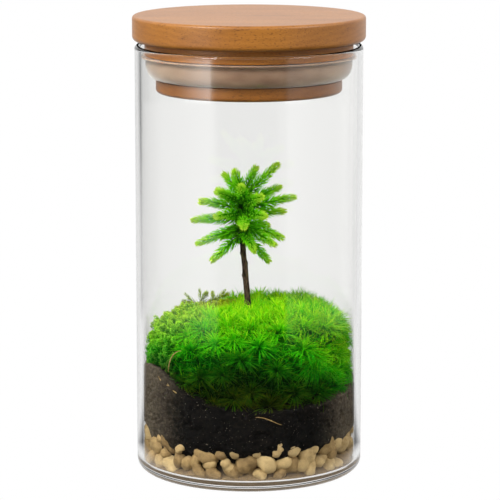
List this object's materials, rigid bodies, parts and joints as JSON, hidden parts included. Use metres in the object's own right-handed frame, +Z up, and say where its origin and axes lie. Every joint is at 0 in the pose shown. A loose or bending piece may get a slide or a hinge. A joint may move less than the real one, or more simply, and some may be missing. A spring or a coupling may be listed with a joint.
{
  "type": "glass plant terrarium",
  "caption": "Closed cylindrical glass jar with a wooden stopper lid, planted with gravel, soil, green moss and one small tree-shaped needle-leaved plant.",
  "frame": {"origin": "centre of the jar's flat base, on the surface that it stands on", "axes": "+Z up along the jar's axis; +Y towards the back of the view in the picture, +X to its right"},
  "size_m": [0.102, 0.102, 0.202],
  "materials": {
    "glass": "clear, polished",
    "wood": "satin, lightly oiled",
    "silicone": "satin, translucent",
    "gravel": "matte",
    "soil": "matte",
    "bark": "matte",
    "needles": "satin",
    "cushion_moss": "satin",
    "feather_moss": "matte",
    "sprig_moss": "matte"
  },
  "bodies": {
    "root": {"glass_jar": "glass", "wooden_lid": "wood", "lid_seal": "silicone", "gravel_bed": "gravel", "tree_trunk": "bark", "soil": "soil", "tree_shoot_01": "needles", "tree_shoot_02": "needles", "tree_shoot_03": "needles", "tree_shoot_04": "needles", "tree_shoot_05": "needles", "tree_shoot_06": "needles", "tree_shoot_07": "needles", "tree_shoot_08": "needles", "tree_shoot_09": "needles", "tree_shoot_10": "needles", "tree_shoot_11": "needles", "tree_shoot_12": "needles", "tree_shoot_13": "needles", "tree_shoot_14": "needles", "tree_shoot_15": "needles", "tree_shoot_16": "needles", "tree_shoot_17": "needles", "tree_shoot_18": "needles", "tree_shoot_19": "needles", "tree_shoot_20": "needles", "tree_shoot_21": "needles", "tree_shoot_22": "needles", "tree_shoot_23": "needles", "tree_shoot_24": "needles", "tree_shoot_25": "needles", "tree_shoot_26": "needles", "cushion_moss_01": "cushion_moss", "cushion_moss_02": "cushion_moss", "cushion_moss_03": "cushion_moss", "cushion_moss_04": "cushion_moss", "sprig_moss_01": "sprig_moss", "feather_moss_01": "feather_moss", "feather_moss_02": "feather_moss", "cushion_moss_05": "cushion_moss", "cushion_moss_06": "cushion_moss", "cushion_moss_07": "cushion_moss", "cushion_moss_08": "cushion_moss", "cushion_moss_09": "cushion_moss", "cushion_moss_10": "cushion_moss", "cushion_moss_11": "cushion_moss", "sprig_moss_02": "sprig_moss", "cushion_moss_12": "cushion_moss", "cushion_moss_13": "cushion_moss", "cushion_moss_14": "cushion_moss"}
  },
  "joints": []
}
